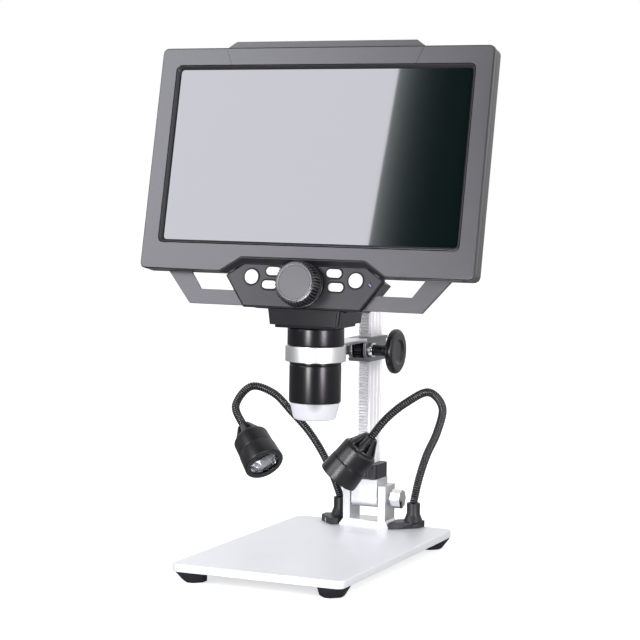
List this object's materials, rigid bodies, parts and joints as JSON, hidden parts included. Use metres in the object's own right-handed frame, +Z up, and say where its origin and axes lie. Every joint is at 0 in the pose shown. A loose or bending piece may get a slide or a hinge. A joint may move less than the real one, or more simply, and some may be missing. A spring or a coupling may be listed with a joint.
{
  "type": "desk stand digital microscope",
  "caption": "Digital microscope with a tilted flat display and optical barrel on a rack-and-pinion column, over a metal base plate with gooseneck lamps.",
  "frame": {"origin": "on the table plane under the middle of the base plate", "axes": "+X to the right of a user who faces the screen, +Y away from the user, +Z up"},
  "size_m": [0.2266, 0.19, 0.333],
  "materials": {
    "plate_alu": "fine bead-blasted clear anodised",
    "foot_rubber": "matt moulded rubber",
    "bracket_alu": "milled, clear anodised",
    "screw_steel": "nickel plated",
    "foot_plastic": "moulded black plastic",
    "column_alu": "drawn, bright anodised",
    "rack_steel": "grey oiled steel",
    "carriage_alu": "machined, clear anodised",
    "pinion_black": "black oxide",
    "knob_black": "satin moulded black",
    "barrel_black": "satin black anodised",
    "diffuser_white": "frosted translucent",
    "board_green": "solder-masked board",
    "inner_black": "black moulded plastic",
    "lens_glass": "polished, coated",
    "box_grey": "fine-textured charcoal",
    "bezel_grey": "fine-textured grey",
    "shell_grey": "fine-textured grey",
    "screen_glass": "polished cover glass",
    "screen_black": "dark display panel",
    "battery_wrap": "film wrapped cell",
    "port_steel": "stamped steel",
    "button_white": "white moulded",
    "indicator_clear": "translucent blue-white",
    "wheel_grey": "spin-lined face, black knurled rim",
    "neck_black": "black ringed steel tube",
    "lamp_black": "satin black",
    "reflector_chrome": "metallised",
    "emitter_yellow": "phosphor die on a small board"
  },
  "bodies": {
    "stand": {"base_plate": "plate_alu", "feet": "foot_rubber", "tilt_bracket": "bracket_alu", "stand_screws": "screw_steel", "lamp_foot_right": "foot_plastic", "lamp_foot_left": "foot_plastic"},
    "tilt_clamp": {"tilt_screw": "screw_steel"},
    "column_assembly": {"tilt_block": "bracket_alu", "column_collar": "foot_plastic", "column": "column_alu", "rack": "rack_steel", "column_cap": "foot_plastic"},
    "carriage_assembly": {"carriage": "carriage_alu", "support_arm": "carriage_alu", "arm_screws": "screw_steel", "shaft_bushing": "screw_steel"},
    "height_drive": {"pinion_shaft": "pinion_black", "height_knob": "knob_black"},
    "head": {"upper_barrel": "barrel_black", "lower_barrel": "barrel_black", "diffuser_cap": "diffuser_white", "led_ring": "board_green", "sensor_board": "board_green", "optics_box": "box_grey", "front_bezel": "bezel_grey", "rear_shell": "shell_grey", "cover_glass": "screen_glass", "lcd_panel": "screen_black", "main_board": "board_green", "battery_pack": "battery_wrap", "port_block": "port_steel", "case_screws": "screw_steel", "control_panel": "bezel_grey", "wing_frame": "shell_grey", "button_board": "board_green", "indicator_lens": "indicator_clear"},
    "focus_drive": {"focus_wheel": "wheel_grey"},
    "lens_carrier": {"lens_cell": "inner_black", "objective_lens": "lens_glass"},
    "button_round_left": {"button_round_left": "button_white"},
    "button_round_right": {"button_round_right": "button_white"},
    "button_upper_left": {"button_upper_left": "button_white"},
    "button_lower_left": {"button_lower_left": "button_white"},
    "button_upper_right": {"button_upper_right": "button_white"},
    "button_lower_right": {"button_lower_right": "button_white"},
    "neck_lower_right": {"neck_lower_right": "neck_black"},
    "neck_upper_right": {"neck_upper_right": "neck_black"},
    "lamp_right": {"lamp_boot_right": "lamp_black", "lamp_shell_right": "lamp_black", "lamp_reflector_right": "reflector_chrome", "lamp_emitter_right": "emitter_yellow", "lamp_lens_right": "lens_glass"},
    "neck_lower_left": {"neck_lower_left": "neck_black"},
    "neck_upper_left": {"neck_upper_left": "neck_black"},
    "lamp_left": {"lamp_boot_left": "lamp_black", "lamp_shell_left": "lamp_black", "lamp_reflector_left": "reflector_chrome", "lamp_emitter_left": "emitter_yellow", "lamp_lens_left": "lens_glass"}
  },
  "joints": [
    {"name": "column_tilt", "type": "hinge", "parent": "stand", "child": "column_assembly", "pos_m": [0, 0.084, 0.0315], "axis": [1, 0, 0], "range_deg": [-15, 15]},
    {"name": "tilt_clamp_turn", "type": "hinge", "parent": "stand", "child": "tilt_clamp", "pos_m": [0, 0.084, 0.0315], "axis": [1, 0, 0], "range_deg": [0, 360]},
    {"name": "carriage_slide", "type": "slide", "parent": "column_assembly", "child": "carriage_assembly", "axis": [0, 0, 1], "range_m": [-0.036, 0.06]},
    {"name": "height_knob_turn", "type": "hinge", "parent": "carriage_assembly", "child": "height_drive", "pos_m": [0, 0.0647, 0.1332], "axis": [1, 0, 0], "range_deg": [-637, 383]},
    {"name": "head_swivel", "type": "hinge", "parent": "carriage_assembly", "child": "head", "pos_m": [0, -0.0095, 0.1366], "axis": [0, 0, 1], "range_deg": [-45, 45]},
    {"name": "focus_turn", "type": "hinge", "parent": "head", "child": "focus_drive", "pos_m": [0, -0.03123, 0.18039], "axis": [0, -0.9781, 0.2079], "range_deg": [-115, 115]},
    {"name": "lens_slide", "type": "slide", "parent": "head", "child": "lens_carrier", "axis": [0, 0, 1], "range_m": [-0.0055, 0.0055]},
    {"name": "button_round_left_press", "type": "slide", "parent": "head", "child": "button_round_left", "axis": [0, 0.9781, -0.2079], "range_m": [0, 0.0006], "stiffness_N_per_m": 600, "springref_m": -0.0005},
    {"name": "button_round_right_press", "type": "slide", "parent": "head", "child": "button_round_right", "axis": [0, 0.9781, -0.2079], "range_m": [0, 0.0006], "stiffness_N_per_m": 600, "springref_m": -0.0005},
    {"name": "button_upper_left_press", "type": "slide", "parent": "head", "child": "button_upper_left", "axis": [0, 0.9781, -0.2079], "range_m": [0, 0.0006], "stiffness_N_per_m": 600, "springref_m": -0.0005},
    {"name": "button_lower_left_press", "type": "slide", "parent": "head", "child": "button_lower_left", "axis": [0, 0.9781, -0.2079], "range_m": [0, 0.0006], "stiffness_N_per_m": 600, "springref_m": -0.0005},
    {"name": "button_upper_right_press", "type": "slide", "parent": "head", "child": "button_upper_right", "axis": [0, 0.9781, -0.2079], "range_m": [0, 0.0006], "stiffness_N_per_m": 600, "springref_m": -0.0005},
    {"name": "button_lower_right_press", "type": "slide", "parent": "head", "child": "button_lower_right", "axis": [0, 0.9781, -0.2079], "range_m": [0, 0.0006], "stiffness_N_per_m": 600, "springref_m": -0.0005},
    {"name": "neck_swing_right", "type": "hinge", "parent": "stand", "child": "neck_lower_right", "pos_m": [0.031, 0.088, 0.029], "axis": [0, 0, 1], "range_deg": [-12, 30]},
    {"name": "neck_elbow_right", "type": "hinge", "parent": "neck_lower_right", "child": "neck_upper_right", "pos_m": [0.054, 0.051, 0.109], "axis": [-0.5269, 0.8499, 0], "range_deg": [-20, 12]},
    {"name": "lamp_nod_right", "type": "hinge", "parent": "neck_upper_right", "child": "lamp_right", "pos_m": [0.025, 0.0243, 0.0806], "axis": [0.1986, -0.9801, 0], "range_deg": [-25, 25]},
    {"name": "neck_swing_left", "type": "hinge", "parent": "stand", "child": "neck_lower_left", "pos_m": [-0.0225, 0.0875, 0.029], "axis": [0, 0, 1], "range_deg": [-30, 12]},
    {"name": "neck_elbow_left", "type": "hinge", "parent": "neck_lower_left", "child": "neck_upper_left", "pos_m": [-0.075, 0.053, 0.105], "axis": [-0.7852, -0.6192, 0], "range_deg": [-20, 12]},
    {"name": "lamp_nod_left", "type": "hinge", "parent": "neck_upper_left", "child": "lamp_left", "pos_m": [-0.07, 0.0334, 0.0798], "axis": [0.5692, 0.8222, 0], "range_deg": [-25, 25]}
  ],
  "couplings": [
    {"joint": "height_knob_turn", "follows": "carriage_slide", "rad_per_m": -184.8},
    {"joint": "lens_slide", "follows": "focus_turn", "m_per_rad": 0.0025}
  ]
}
